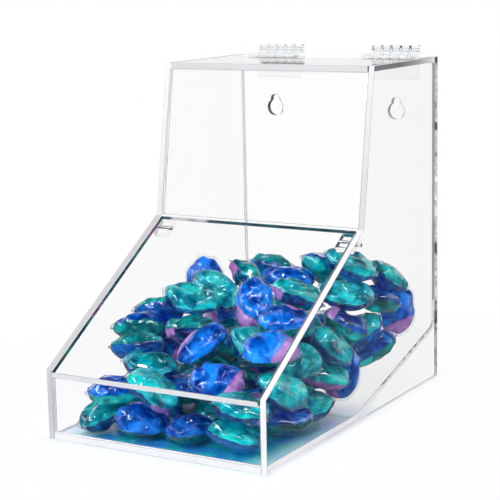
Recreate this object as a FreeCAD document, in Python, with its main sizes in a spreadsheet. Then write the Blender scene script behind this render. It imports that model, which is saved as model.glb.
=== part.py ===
import FreeCAD, Part
import math
import os
import random

import Sketcher

from FreeCAD import Placement, Rotation, Vector

# A clear acrylic bin for laundry pods, half filled with pods.
# X runs across the bin, Y from the front lip to the back panel, Z up. It is drawn from a point on what
# it stands on, midway between the side panels, in the plane of their front edges; its own origin, which
# the finished pieces are moved to, lies behind that, under the middle of the flat floor. Millimetres.

doc = FreeCAD.newDocument("laundry_pod_bin")

# ---------------------------------------------------------------- driving dimensions

DIMENSIONS = [
    ("overall_width", 200, "outside of one side panel to outside of the other"),
    ("overall_depth", 308, "front edge to rear edge of a side panel"),
    ("overall_height", 286, "bottom edge to top edge of a side panel"),
    ("sheet_thickness", 5, "every panel is cut from the same acrylic sheet"),
    ("front_height", 56.5, "height of a side panel's front corner"),
    ("brow_depth", 162, "from the front to the corner between the door and the upper front"),
    ("brow_height", 157, "height of that corner"),
    ("head_depth", 183, "from the front to the top of the upper front"),
    ("floor_length", 150, "flat floor in front of the ramp"),
    ("ramp_height", 48, "top of the ramp where it meets the back"),
    ("floor_bend_radius", 25, "inside radius of the bend from floor to ramp"),
    ("back_bend_radius", 10, "inside radius of the bend from ramp to back"),
    ("lid_gap", 0.3, "lid to the edges that it rests on, and to the leaves behind it"),
    ("side_gap", 1, "lid and door to the side panels"),
    ("lip_gap", 0.3, "lower corner of the closed door to the lip"),
    ("door_overhang", 2.4, "door past the side panels' front corner"),
    ("door_top_gap", 2.7, "upper edge of the door to the brow corner"),
    ("block_width", 13, "pivot block, across the door"),
    ("block_length", 17, "pivot block, down the door"),
    ("pivot_setback", 8, "pivot below the door's upper edge"),
    ("pivot_pin_radius", 1.5, "pin that the door turns on"),
    ("pin_clearance", 0.05, "radial clearance of a pin in its bore"),
    ("hinge_spacing", 116, "middle of one lid hinge to the middle of the other"),
    ("hinge_length", 45, "along the pin"),
    ("leaf_thickness", 2.2, "plate of a hinge leaf"),
    ("lid_leaf_depth", 19, "leaf on the lid"),
    ("back_leaf_depth", 20, "leaf on the back panel"),
    ("knuckle_radius", 3.8, "outside of a knuckle"),
    ("knuckle_merge", 0.8, "how far a knuckle sinks into its leaf's plate"),
    ("knuckle_gap", 0.3, "between neighbouring knuckles"),
    ("leaf_gap", 0.5, "back leaf's plate below the lid leaf"),
    ("hinge_pin_radius", 1.5, "pin of a lid hinge"),
    ("keyhole_spacing", 120, "between the two hanging holes"),
    ("keyhole_height", 238, "middle of the keyhole's round head"),
    ("keyhole_head_radius", 7.5, "head, which passes over a screw's head"),
    ("keyhole_slot_radius", 4, "half the slot's width"),
    ("keyhole_rise", 8, "end of the slot above the head"),
    ("pod_length", 52, "a pod, longest"),
    ("pod_width", 36, "a pod, across"),
    ("pod_thickness", 20, "a pod, through"),
    ("pod_gap", 0.3, "between a pod and what it lies on"),
    ("pod_door_gap", 1.3, "between the pods and the closed door"),
    ("pod_swing_gap", 2, "between the pods and the door's upper end as it swings"),
]

KNUCKLES = 5
BURIED_PODS = 40
SIGN = {"left": -1, "right": 1}

size = doc.addObject("Spreadsheet::Sheet", "size")
for row, (alias, value, meaning) in enumerate(DIMENSIONS, start=1):
    size.set(f"A{row}", alias.replace("_", " "))
    size.set(f"B{row}", str(value))
    size.set(f"C{row}", meaning)
    size.setAlias(f"B{row}", alias)
doc.recompute()

# ---------------------------------------------------------------- derived expressions

T = "size.sheet_thickness"
INNER_WIDTH = f"(size.overall_width - 2 * {T})"
INNER_BACK = f"(size.overall_depth - {T})"

# the door's slope and the length of the side panel's sloping edge
SLOPE = "atan((size.brow_height - size.front_height) / size.brow_depth)"
SLOPE_LENGTH = "sqrt(pow(size.brow_depth; 2) + pow(size.brow_height - size.front_height; 2))"
DOOR_TOP = f"({SLOPE_LENGTH} - size.door_top_gap)"
DOOR_HALF = f"({INNER_WIDTH} / 2 - size.side_gap)"

# the upper front leans back by this angle from upright
LEAN = "atan((size.head_depth - size.brow_depth) / (size.overall_height - size.brow_height))"
PANEL_TOP = f"(size.overall_height - {T} - size.lid_gap)"

# the ramp's slope
RAMP = f"atan((size.ramp_height - {T}) / ({INNER_BACK} - size.floor_length))"

# the door's pivot: half way through the blocks, which are one sheet thick and lie under the door
PIVOT_ALONG = f"({DOOR_TOP} - size.pivot_setback)"
PIVOT_UNDER = f"(1.5 * {T})"
PIVOT_Y = f"({PIVOT_ALONG} * cos({SLOPE}) + {PIVOT_UNDER} * sin({SLOPE}))"
PIVOT_Z = f"(size.front_height + {PIVOT_ALONG} * sin({SLOPE}) - {PIVOT_UNDER} * cos({SLOPE}))"

# the lid hinges' axis: above the lid and behind the back
HINGE_STEP = "(size.leaf_thickness + size.knuckle_radius - size.knuckle_merge)"
HINGE_Y = f"(size.overall_depth + {HINGE_STEP})"
HINGE_Z = f"(size.overall_height + {HINGE_STEP})"
KNUCKLE_LENGTH = f"((size.hinge_length - {KNUCKLES - 1} * size.knuckle_gap) / {KNUCKLES})"


def number(expression):
    """The value of an expression, as a plain number of millimetres or degrees."""
    value = size.evalExpression(expression)
    return float(getattr(value, "Value", value))


def bind(item, expressions):
    """Ties properties of an object to expressions."""
    for name, expression in expressions.items():
        item.setExpression(name, expression)
    return item


def place(item, x="0", y="0", z="0"):
    """Ties an object's position to expressions."""
    return bind(item, {"Placement.Base.x": x, "Placement.Base.y": y, "Placement.Base.z": z})


# ---------------------------------------------------------------- construction helpers

# a sketch's own axes, and the part of an edge or circle that a constraint holds, as Sketcher numbers them
X_AXIS = -1
Y_AXIS = -2
ORIGIN = (-1, 1)
START = 1
END = 2
CENTRE = 3
CLOSE = 0.01


def hold_point(sketch, geometry, point, across, up):
    """Ties one point of a sketch to a pair of expressions, or to an axis where one of them is zero."""
    for kind, expression, axis in (("DistanceX", across, Y_AXIS), ("DistanceY", up, X_AXIS)):
        value = number(expression)
        if abs(value) < CLOSE:
            sketch.addConstraint(Sketcher.Constraint("PointOnObject", geometry, point, axis))
            continue
        index = sketch.addConstraint(Sketcher.Constraint(kind, *ORIGIN, geometry, point, value))
        sketch.setExpression(f"Constraints[{index}]", expression)


def new_sketch(body, name, plane):
    """An empty sketch on one of the body's own origin planes."""
    sketch = body.newObject("Sketcher::SketchObject", name)
    origin_plane = next(f for f in body.Origin.OriginFeatures if f.Role == plane)
    sketch.AttachmentSupport = [(origin_plane, "")]
    sketch.MapMode = "FlatFace"
    return sketch


def outline(sketch, points):
    """A closed polygon, each corner a pair of expressions."""
    corners = [Vector(number(across), number(up), 0) for across, up in points]
    for start, end in zip(corners, corners[1:] + corners[:1]):
        sketch.addGeometry(Part.LineSegment(start, end))
    count = len(corners)
    for index in range(count):
        following = (index + 1) % count
        sketch.addConstraint(Sketcher.Constraint("Coincident", index, END, following, START))
    for index, (across, up) in enumerate(points):
        hold_point(sketch, index, START, across, up)


def round_hole(sketch, across, up, radius):
    """A circle in a sketch, tied to expressions."""
    centre = Vector(number(across), number(up), 0)
    index = sketch.addGeometry(Part.Circle(centre, Vector(0, 0, 1), number(radius)))
    hold_point(sketch, index, CENTRE, across, up)
    constraint = sketch.addConstraint(Sketcher.Constraint("Radius", index, number(radius)))
    sketch.setExpression(f"Constraints[{constraint}]", radius)


def pad(body, sketch, length, name, downwards=False):
    """The sketch pushed out by a length."""
    feature = body.newObject("PartDesign::Pad", name)
    feature.Profile = sketch
    feature.Reversed = downwards
    bind(feature, {"Length": length})
    doc.recompute()
    return feature


def box(name, x, length, y, width, z, height):
    """A rectangular block: where it starts and how far it runs along X, Y and Z."""
    item = doc.addObject("Part::Box", name)
    bind(item, {"Length": length, "Width": width, "Height": height})
    return place(item, x, y, z)


def rod(name, radius, length, x, y, z, turn):
    """A cylinder that starts at x, y, z and runs along +X or +Y, as its turn from +Z says."""
    item = doc.addObject("Part::Cylinder", name)
    item.Placement.Rotation = turn
    bind(item, {"Radius": radius, "Height": length})
    return place(item, x, y, z)


ALONG_X = Rotation(Vector(0, 1, 0), 90)
ALONG_Y = Rotation(Vector(1, 0, 0), -90)


def joined(name, pieces):
    """One solid of several that overlap."""
    item = doc.addObject("Part::MultiFuse", name)
    item.Shapes = pieces
    return item


def cut(name, base, tool):
    """A solid less another."""
    item = doc.addObject("Part::Cut", name)
    item.Base = base
    item.Tool = tool
    return item


nodes = {}


def node(item, label):
    """Names a finished piece."""
    item.Label = label
    nodes[label] = item
    return item


# ---------------------------------------------------------------- panels


def side_panel(label, start_x):
    """A flat side: its outline steps up from the lip along the door to the brow and the lid."""
    body = doc.addObject("PartDesign::Body", f"{label}_body")
    sketch = new_sketch(body, f"{label}_outline", "YZ_Plane")
    outline(
        sketch,
        [
            ("0", "0"),
            ("size.overall_depth", "0"),
            ("size.overall_depth", "size.overall_height"),
            ("size.head_depth", "size.overall_height"),
            ("size.brow_depth", "size.brow_height"),
            ("0", "size.front_height"),
        ],
    )
    round_hole(sketch, PIVOT_Y, PIVOT_Z, "size.pivot_pin_radius + size.pin_clearance")
    pad(body, sketch, T, f"{label}_pad")
    place(body, x=start_x)
    return node(body, label)


def edge_at(shape, y, z):
    """The name of the edge that runs across the bin at y, z."""
    for index, edge in enumerate(shape.Edges, start=1):
        middle = edge.CenterOfMass
        if math.hypot(middle.y - y, middle.z - z) < CLOSE and edge.BoundBox.XLength > CLOSE:
            return f"Edge{index}"
    raise RuntimeError(f"no edge at y {y}, z {z}")


def bent_sheet():
    """Floor, ramp and back in one heat-bent sheet, with two keyholes in the back."""
    body = doc.addObject("PartDesign::Body", "bent_sheet_body")
    sketch = new_sketch(body, "bent_sheet_outline", "YZ_Plane")
    floor_bend = ("size.floor_length", T)
    floor_bend_below = (f"size.floor_length + {T} * tan({RAMP} / 2)", "0")
    back_bend = (INNER_BACK, "size.ramp_height")
    below_ramp_top = f"size.ramp_height + {T} * tan({RAMP}) - {T} / cos({RAMP})"
    back_bend_below = ("size.overall_depth", below_ramp_top)
    outline(
        sketch,
        [
            ("0", "0"),
            floor_bend_below,
            back_bend_below,
            ("size.overall_depth", PANEL_TOP),
            (INNER_BACK, PANEL_TOP),
            back_bend,
            floor_bend,
            ("0", T),
        ],
    )
    feature = pad(body, sketch, INNER_WIDTH, "bent_sheet_pad")
    bends = [
        (floor_bend, "size.floor_bend_radius"),
        (floor_bend_below, f"size.floor_bend_radius + {T}"),
        (back_bend, "size.back_bend_radius"),
        (back_bend_below, f"size.back_bend_radius + {T}"),
    ]
    for index, ((y, z), radius) in enumerate(bends):
        corner = edge_at(feature.Shape, number(y), number(z))
        fillet = body.newObject("PartDesign::Fillet", f"bend_{index}")
        fillet.Base = (feature, [corner])
        bind(fillet, {"Radius": radius})
        doc.recompute()
        feature = fillet
    place(body, x=f"-{INNER_WIDTH} / 2")

    tools = []
    start = f"{INNER_BACK} - {T}"
    through = f"3 * {T}"
    for side in ("left", "right"):
        middle = f"{SIGN[side]} * size.keyhole_spacing / 2"
        end = "size.keyhole_height + size.keyhole_rise"
        width = "size.keyhole_slot_radius"
        tools.append(
            rod(f"keyhole_head_{side}", "size.keyhole_head_radius", through, middle, start,
                "size.keyhole_height", ALONG_Y)
        )
        tools.append(rod(f"keyhole_end_{side}", width, through, middle, start, end, ALONG_Y))
        tools.append(
            box(f"keyhole_slot_{side}", f"{middle} - {width}", f"2 * {width}", start, through,
                "size.keyhole_height", "size.keyhole_rise")
        )
    sheet = cut("bent_sheet_cut", body, joined("keyholes", tools))
    return node(sheet, "floor_ramp_back_sheet")


def upper_front():
    """The leaning front panel between the door and the lid."""
    body = doc.addObject("PartDesign::Body", "upper_front_body")
    sketch = new_sketch(body, "upper_front_outline", "YZ_Plane")
    top = f"size.brow_depth + ({PANEL_TOP} - size.brow_height) * tan({LEAN})"
    outline(
        sketch,
        [
            ("size.brow_depth", "size.brow_height"),
            (f"size.brow_depth + {T} * cos({LEAN})", f"size.brow_height - {T} * sin({LEAN})"),
            (f"{top} + {T} / cos({LEAN})", PANEL_TOP),
            (top, PANEL_TOP),
        ],
    )
    pad(body, sketch, INNER_WIDTH, "upper_front_pad")
    place(body, x=f"-{INNER_WIDTH} / 2")
    return node(body, "upper_front_panel")


def lip():
    """The low front wall, which stands on the floor sheet and carries the closed door."""
    corner = f"({T} * sin({SLOPE}) - size.door_overhang * cos({SLOPE}))"
    underside = f"(size.front_height + {corner} * tan({SLOPE}) - {T} / cos({SLOPE}))"
    top = f"({underside} - size.lip_gap)"
    panel = box("lip", f"-{INNER_WIDTH} / 2", INNER_WIDTH, "0", T, T, f"{top} - {T}")
    return node(panel, "front_lip_panel")


def lid():
    """The flat lid, which covers the top edges of the upper front and of the back."""
    depth = "size.overall_depth - size.head_depth - size.lid_gap"
    panel = box("lid", f"-{DOOR_HALF}", f"2 * {DOOR_HALF}", "size.head_depth", depth,
                f"size.overall_height - {T}", T)
    return node(panel, "lid_panel")


# ---------------------------------------------------------------- sloping door and its pivots


def on_slope(item):
    """Lays a piece drawn flat along Y onto the side panels' sloping edge."""
    item.Placement.Rotation = Rotation(Vector(1, 0, 0), 1)
    place(item, z="size.front_height")
    return bind(item, {"Placement.Rotation.Angle": SLOPE})


def door():
    """The door's flat panel, with its outer face level with the side panels' sloping edges."""
    body = doc.addObject("PartDesign::Body", "door_body")
    sketch = new_sketch(body, "door_outline", "XY_Plane")
    low = "-size.door_overhang"
    outline(
        sketch,
        [
            (f"-{DOOR_HALF}", low),
            (DOOR_HALF, low),
            (DOOR_HALF, DOOR_TOP),
            (f"-{DOOR_HALF}", DOOR_TOP),
        ],
    )
    pad(body, sketch, T, "door_pad", downwards=True)
    return node(on_slope(body), "door_panel")


def pivot(side):
    """A block glued under the door's upper corner, and the pin that joins it to the side panel."""
    inner_end = f"({DOOR_HALF} - size.block_width)"
    block_x = f"-{DOOR_HALF}" if side == "left" else inner_end
    block = box(f"pivot_block_blank_{side}", block_x, "size.block_width",
                f"{DOOR_TOP} - size.block_length", "size.block_length", f"-2 * {T}", T)
    bore = rod(f"pivot_bore_{side}", "size.pivot_pin_radius + size.pin_clearance", "size.block_width",
               block_x, PIVOT_ALONG, f"-{PIVOT_UNDER}", ALONG_X)
    node(on_slope(cut(f"pivot_block_cut_{side}", block, bore)), f"pivot_block_{side}")

    pin_x = "-size.overall_width / 2" if side == "left" else inner_end
    pin = rod(f"pin_{side}", "size.pivot_pin_radius", f"size.overall_width / 2 - {inner_end}",
              pin_x, PIVOT_Y, PIVOT_Z, ALONG_X)
    node(pin, f"pivot_pin_{side}")


# ---------------------------------------------------------------- lid hinges


def knuckle_start(side, index):
    """Where a knuckle starts along the hinge."""
    middle = f"{SIGN[side]} * size.hinge_spacing / 2"
    return f"{middle} - size.hinge_length / 2 + {index} * ({KNUCKLE_LENGTH} + size.knuckle_gap)"


def leaf(side, kind, plate, tab, knuckles):
    """A leaf: a plate, and for each of its knuckles a tab and a barrel, all bored for the pin.

    The plate and the tab are given by where they start and how far they run along Y and Z.
    """
    name = f"{kind}_{side}"
    pieces = [box(f"{name}_plate", knuckle_start(side, 0), "size.hinge_length", *plate)]
    for index in knuckles:
        start = knuckle_start(side, index)
        pieces.append(box(f"{name}_tab_{index}", start, KNUCKLE_LENGTH, *tab))
        pieces.append(rod(f"{name}_barrel_{index}", "size.knuckle_radius", KNUCKLE_LENGTH,
                          start, HINGE_Y, HINGE_Z, ALONG_X))
    bore = rod(f"{name}_bore", "size.hinge_pin_radius + size.pin_clearance", "size.hinge_length",
               knuckle_start(side, 0), HINGE_Y, HINGE_Z, ALONG_X)
    node(cut(f"{name}_cut", joined(f"{name}_joined", pieces), bore), name)


def hinge(side):
    """One butt hinge: a leaf on the lid, a leaf behind the back, and the pin through both."""
    plate_end = "(size.overall_depth - size.knuckle_gap)"
    plate_width = "(size.lid_leaf_depth - size.knuckle_gap)"
    leaf(
        side,
        "lid_leaf",
        (f"{plate_end} - {plate_width}", plate_width, "size.overall_height", "size.leaf_thickness"),
        (plate_end, f"{HINGE_Y} - {plate_end}", "size.overall_height", "size.leaf_thickness"),
        range(1, KNUCKLES, 2),
    )
    plate_top = "(size.overall_height - size.leaf_gap)"
    leaf(
        side,
        "back_leaf",
        ("size.overall_depth", "size.leaf_thickness", f"{plate_top} - size.back_leaf_depth",
         "size.back_leaf_depth"),
        ("size.overall_depth", "size.leaf_thickness", plate_top, f"{HINGE_Z} - {plate_top}"),
        range(0, KNUCKLES, 2),
    )
    pin = rod(f"hinge_pin_blank_{side}", "size.hinge_pin_radius", "size.hinge_length",
              knuckle_start(side, 0), HINGE_Y, HINGE_Z, ALONG_X)
    node(pin, f"hinge_pin_{side}")


# ---------------------------------------------------------------- pods

# The pods that show on the heap, in the order in which they are laid: about where each one's middle
# comes to lie (across from the middle of the bin, back from the front, up from the floor), and how it
# lies: the heading of its long axis in plan, how far that axis leans up, and its roll about that axis,
# in degrees.
SHOWN_PODS = [
    (15, 30, 15, 75, 5, 0),
    (72, 78, 16, 50, 0, -10),
    (-66, 30, 17, 70, 10, -10),
    (58, 26, 17, 10, -5, -5),
    (-30, 24, 18, 5, 10, 20),
    (70, 115, 18, 15, 0, 25),
    (-54, 28, 33, 20, 0, 0),
    (60, 30, 33, 20, 5, 10),
    (72, 172, 34, 50, 30, 30),
    (72, 226, 41, 20, 25, 0),
    (74, 225, 57, 60, 0, 20),
    (72, 278, 64, 90, 55, 40),
    (77, 234, 75, 60, 5, 20),
    (84, 240, 90, 85, -58, 25),
    (-20, 26, 44, 5, -10, 30),
    (76, 64, 45, 65, -20, 40),
    (31, 44, 50, 35, 0, 50),
    (-37, 55, 52, 25, -10, 25),
    (-54, 66, 62, 30, 0, 5),
    (73, 95, 60, 55, 0, 65),
    (76, 128, 62, 60, 30, 45),
    (60, 76, 65, 45, 10, 30),
    (29, 96, 69, 50, -10, 5),
    (11, 76, 70, 35, 5, 15),
    (-64, 78, 67, 20, 0, 10),
    (-22, 88, 75, 35, 0, 25),
    (72, 160, 74, 25, 10, 35),
    (54, 112, 82, 65, 15, 25),
    (-66, 95, 78, 40, 10, 5),
    (-35, 110, 87, 30, 0, 30),
    (19, 124, 94, 120, 68, 0),
    (49, 138, 94, 40, 0, 20),
    (72, 184, 97, 30, -5, 15),
    (-33, 148, 98, 30, 5, 25),
    (-62, 165, 103, 65, 55, 5),
    (-18, 168, 103, 20, 0, 20),
    (25, 172, 107, 25, 0, 10),
    (34, 188, 110, 50, 10, 15),
    (-2, 190, 108, 25, 15, -10),
    (68, 192, 112, 20, -10, 10),
]
# Spots on the heap's far side, which shape what is buried there.
FAR_SPOTS = [(-60, 235, 82), (-60, 280, 62), (0, 280, 65), (0, 235, 88), (45, 280, 65), (40, 235, 85)]
# the room between the panels that those places are given for, which another room stretches
LAYOUT_WIDTH = 190
LAYOUT_DEPTH = 303

# The first of them lie along the panels before the buried pods come, and the rest on top of those.
FIRST_LAYER = 14
BURIED_DEPTH = 28
BURIED_LEAN = 15
BURIED_ROLL = 25
BURIED_TRIES = 80
SHAKES = 40
SHOWN_SHAKES = 120
# the shift in millimetres and the turn in degrees that a shake may give, and what each try that finds
# no place adds to the shift and the turn of the next
SHAKE = (3, 6)
WIDEN = (0.3, 0.6)
WIDEST_TURN = 12
# what a pod's shift aside, and a buried pod's rise through the surface, cost against a millimetre's rise
ASIDE_COST = 0.5
BREACH_COST = 4
# squared distance over which the surface's height is smoothed
SMOOTHING = 150
SEED = 24

rng = random.Random(SEED)
UP = Vector(0, 0, 1)


def half_space(start, end):
    """The side above a line in the YZ plane, as a point and the unit normal on the upper side."""
    across = (end - start).normalize()
    return start, Vector(0, -across.z, across.y)


def bend_chord(corner, before, after, radius):
    """The straight line under an inside bend, so that nothing above it meets the bend."""
    turn = before.getAngle(after)
    reach = radius * math.tan(turn / 2)
    return half_space(corner - before * reach, corner + after * reach)


def container_limits():
    """The half spaces that hold the pods up, and those that they must keep clear of."""
    sheet = number(T)
    back = number(INNER_BACK)
    ramp = math.radians(number(RAMP))
    slope = math.radians(number(SLOPE))
    backwards = Vector(0, 1, 0)
    up_ramp = Vector(0, math.cos(ramp), math.sin(ramp))
    foot = Vector(0, number("size.floor_length"), sheet)
    heel = Vector(0, back, number("size.ramp_height"))
    carrying = [
        (Vector(0, 0, sheet), UP),
        bend_chord(foot, backwards, up_ramp, number("size.floor_bend_radius")),
        half_space(foot, heel),
        bend_chord(heel, up_ramp, UP, number("size.back_bend_radius")),
    ]
    side = number(f"{INNER_WIDTH} / 2")
    below_door = Vector(0, math.sin(slope), -math.cos(slope))
    door_face = Vector(0, 0, number("size.front_height")) + below_door * number(
        f"{T} + size.pod_door_gap - size.pod_gap"
    )
    keeping = [
        (Vector(-side, 0, 0), Vector(1, 0, 0)),
        (Vector(side, 0, 0), Vector(-1, 0, 0)),
        (Vector(0, sheet, 0), backwards),
        (Vector(0, back, 0), -backwards),
        (Vector(0, 0, number(f"size.overall_height - {T}")), -UP),
        (door_face, below_door),
    ]
    return carrying, keeping


CARRYING, KEEPING = container_limits()
# What hangs into the bin, as a height and a depth: a pod that reaches above the one lies wholly behind
# the other. First the upper end of the door and its blocks, which swing about the pivot, then the upper
# front.
SWING = number(
    f"sqrt(pow(size.block_length - size.pivot_setback; 2) + pow({PIVOT_UNDER}; 2)) + size.pod_swing_gap"
)
HANGING = [
    (number(PIVOT_Z) - SWING, number(PIVOT_Y) + SWING),
    (number(f"size.brow_height - {T}"), number(f"size.head_depth + {T} / cos({LEAN})")),
]

HALF_SIZES = [
    number(f"(size.{name} + size.pod_gap) / 2") for name in ("pod_length", "pod_width", "pod_thickness")
]
HALF_GAP = number("size.pod_gap / 2")
REACH = 2 * HALF_SIZES[0]
# where the six different entries of a symmetric matrix stand
ENTRIES = ((0, 0), (0, 1), (0, 2), (1, 1), (1, 2), (2, 2))
# how far from one ellipsoid's middle towards the other's a plane that parts them may lie
SHARES = [0.2 + 0.05 * step for step in range(13)]


def pod_turn(heading, lean, roll):
    """A pod's rotation, from its long axis lying along X and its flat side down."""
    return Rotation(heading, -lean, roll)


def spread_matrix(turn):
    """The symmetric matrix of a turned ellipsoid, as its six entries."""
    own_axes = (Vector(1, 0, 0), Vector(0, 1, 0), UP)
    axes = [turn.multVec(axis) * half for axis, half in zip(own_axes, HALF_SIZES)]
    return [sum(axis[i] * axis[j] for axis in axes) for i, j in ENTRIES]


def extent(matrix, n):
    """How far an ellipsoid reaches from its middle in the direction n."""
    xx, xy, xz, yy, yz, zz = matrix
    squared = xx * n.x**2 + yy * n.y**2 + zz * n.z**2
    return math.sqrt(squared + 2 * (xy * n.x * n.y + xz * n.x * n.z + yz * n.y * n.z))


def rise_for_share(lower, upper, across, back, share):
    """The rise at which a plane of this share parts two ellipsoids, or None if they always miss."""
    xx, xy, xz, yy, yz, zz = [(1 - share) * a + share * b for a, b in zip(lower, upper)]
    minor_x = yy * zz - yz * yz
    minor_y = xz * yz - xy * zz
    minor_z = xy * yz - xz * yy
    scale = share * (1 - share) / (xx * minor_x + xy * minor_y + xz * minor_z)
    flat = minor_x * across**2 + 2 * minor_y * across * back + (xx * zz - xz * xz) * back**2
    slant = scale * (minor_z * across + (xy * xz - xx * yz) * back)
    steep = scale * (xx * yy - xy * xy)
    inside = slant * slant - steep * (scale * flat - 1)
    if inside <= 0:
        return None
    return (math.sqrt(inside) - slant) / steep


def rise_to_clear(lower, upper, across, back):
    """The least height of one ellipsoid's middle over another's at which they touch, or None."""
    rises = []
    for share in SHARES:
        rise = rise_for_share(lower, upper, across, back, share)
        if rise is None:
            return None
        rises.append(rise)
    return min(rises)


heap = []


def drop(x, y, turn):
    """Lowers a pod onto the heap: its middle and its matrix, or None where it doesn't fit."""
    matrix = spread_matrix(turn)
    height = max(
        point.z + (extent(matrix, normal) + HALF_GAP - normal.y * (y - point.y)) / normal.z
        for point, normal in CARRYING
    )
    for middle, other in heap:
        across, back = x - middle.x, y - middle.y
        if math.hypot(across, back) > REACH or middle.z + REACH < height:
            continue
        rise = rise_to_clear(other, matrix, across, back)
        if rise is not None:
            height = max(height, middle.z + rise)
    middle = Vector(x, y, height)
    for point, normal in KEEPING:
        if (middle - point).dot(normal) < extent(matrix, normal) + HALF_GAP:
            return None
    top = height + extent(matrix, UP)
    front = y - extent(matrix, Vector(0, 1, 0))
    if any(top > underside and front < depth for underside, depth in HANGING):
        return None
    return middle, matrix


def settle(start, cost, shakes):
    """Shakes a pod down from where it starts to the cheapest resting place near by, onto the heap.

    A start is x, y, heading, lean and roll. The result is the pod's placement.
    """
    best = None
    attempt = 0
    while attempt < shakes or best is None:
        if best is None:
            shift = WIDEN[0] * attempt
            turn = min(WIDEN[1] * attempt, WIDEST_TURN)
        else:
            start = best[2]
            shift, turn = SHAKE
        amounts = (shift, shift, turn, turn, turn)
        spot = [value + rng.uniform(-amount, amount) for value, amount in zip(start, amounts)]
        rest = drop(spot[0], spot[1], pod_turn(*spot[2:]))
        attempt += 1
        if rest is None:
            continue
        price = cost(rest[0])
        if best is None or price < best[0]:
            best = (price, rest, spot)
    heap.append(best[1])
    return Placement(best[1][0], pod_turn(*best[2][2:]))


def laid_out(x, y):
    """A place of the layout in the room that there is between the panels."""
    return x * number(INNER_WIDTH) / LAYOUT_WIDTH, y * number(INNER_BACK) / LAYOUT_DEPTH


def near(x, y, z):
    """Prefers a resting place at this height and close to this spot."""
    return lambda middle: abs(middle.z - z) + ASIDE_COST * math.hypot(middle.x - x, middle.y - y)


def above_ramp(middle):
    """Height over the floor or the ramp, which a buried pod keeps low."""
    ramp_start, normal = CARRYING[2]
    ramp = ramp_start.z - normal.y / normal.z * (middle.y - ramp_start.y)
    return middle.z - max(number(T), ramp)


SURFACE = [(*laid_out(x, y), z) for x, y, z in [pod[:3] for pod in SHOWN_PODS] + FAR_SPOTS]


def heap_surface(x, y):
    """The height of the heap's surface, from the pods that show on it."""
    weights = [1 / ((x - a) ** 2 + (y - b) ** 2 + SMOOTHING) ** 2 for a, b, _ in SURFACE]
    return sum(weight * spot[2] for weight, spot in zip(weights, SURFACE)) / sum(weights)


def bury():
    """Adds one pod inside the heap, at the cheapest of some spots tried at random."""
    side = number(f"{INNER_WIDTH} / 2 - size.pod_width / 2")
    front = number(f"{T} + size.pod_width / 2")
    back = number(f"{INNER_BACK} - size.pod_width / 2")
    best = None
    attempt = 0
    while attempt < BURIED_TRIES or best is None:
        start = (
            rng.uniform(-side, side),
            rng.uniform(front, back),
            rng.uniform(0, 180),
            rng.uniform(-BURIED_LEAN, BURIED_LEAN),
            rng.uniform(-BURIED_ROLL, BURIED_ROLL),
        )
        rest = drop(start[0], start[1], pod_turn(*start[2:]))
        attempt += 1
        if rest is None:
            continue
        breach = max(0, rest[0].z + BURIED_DEPTH - heap_surface(rest[0].x, rest[0].y))
        price = above_ramp(rest[0]) + BREACH_COST * breach
        if best is None or price < best[0]:
            best = (price, start)
    return settle(best[1], above_ramp, SHAKES)


def pod(name, placement):
    """A pod's outer shape: a plump cushion."""
    item = doc.addObject("Part::Ellipsoid", name)
    bind(item, {"Radius1": "size.pod_thickness / 2", "Radius2": "size.pod_length / 2",
                "Radius3": "size.pod_width / 2"})
    item.Placement = placement
    return item


def group(name, pods):
    """Several pods in one node."""
    item = doc.addObject("Part::Compound", name)
    item.Links = pods
    return node(item, name)


def shown_pod(index):
    """One pod of the heap's surface."""
    x, y, z, *pose = SHOWN_PODS[index]
    x, y = laid_out(x, y)
    placement = settle((x, y, *pose), near(x, y, z), SHOWN_SHAKES)
    name = f"pod_{index + 1:02d}"
    node(pod(f"{name}_shape", placement), name)


def fill():
    """Fills the bin from the floor up: what shows lowest, what is buried, then the surface."""
    for index in range(FIRST_LAYER):
        shown_pod(index)
    buried = [pod(f"buried_pod_{index}", bury()) for index in range(BURIED_PODS)]
    half = BURIED_PODS // 2
    group("buried_pods_lower", buried[:half])
    group("buried_pods_upper", buried[half:])
    for index in range(FIRST_LAYER, len(SHOWN_PODS)):
        shown_pod(index)


# ---------------------------------------------------------------- assembly

side_panel("left_side_panel", "-size.overall_width / 2")
side_panel("right_side_panel", f"size.overall_width / 2 - {T}")
bent_sheet()
lip()
upper_front()
lid()
door()
for name in SIGN:
    pivot(name)
    hinge(name)
fill()
doc.recompute()

for item in doc.Objects:
    if "Invalid" in item.State or "Error" in item.State:
        raise RuntimeError(f"{item.Label} failed: {item.State}")

for label, item in nodes.items():
    if item.Shape.isNull() or not item.Shape.isValid():
        raise RuntimeError(f"{label} has no valid shape")

os.makedirs("parts", exist_ok=True)
to_origin = Vector(0, -number("size.floor_length / 2"), 0)
for label, item in nodes.items():
    shape = item.Shape.copy()
    shape.translate(to_origin)
    shape.exportStep(f"parts/{label}.step")
    middle = shape.CenterOfGravity
    print(label, len(shape.Solids), round(shape.Volume), [round(value, 1) for value in middle])
print(len(nodes), "nodes")
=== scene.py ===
import functools
import math
import random

import bmesh
import bpy
import numpy as np
from bpy.props import FloatProperty, FloatVectorProperty, IntProperty, PointerProperty, StringProperty
from mathutils import Euler, Matrix, Vector, noise


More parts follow.
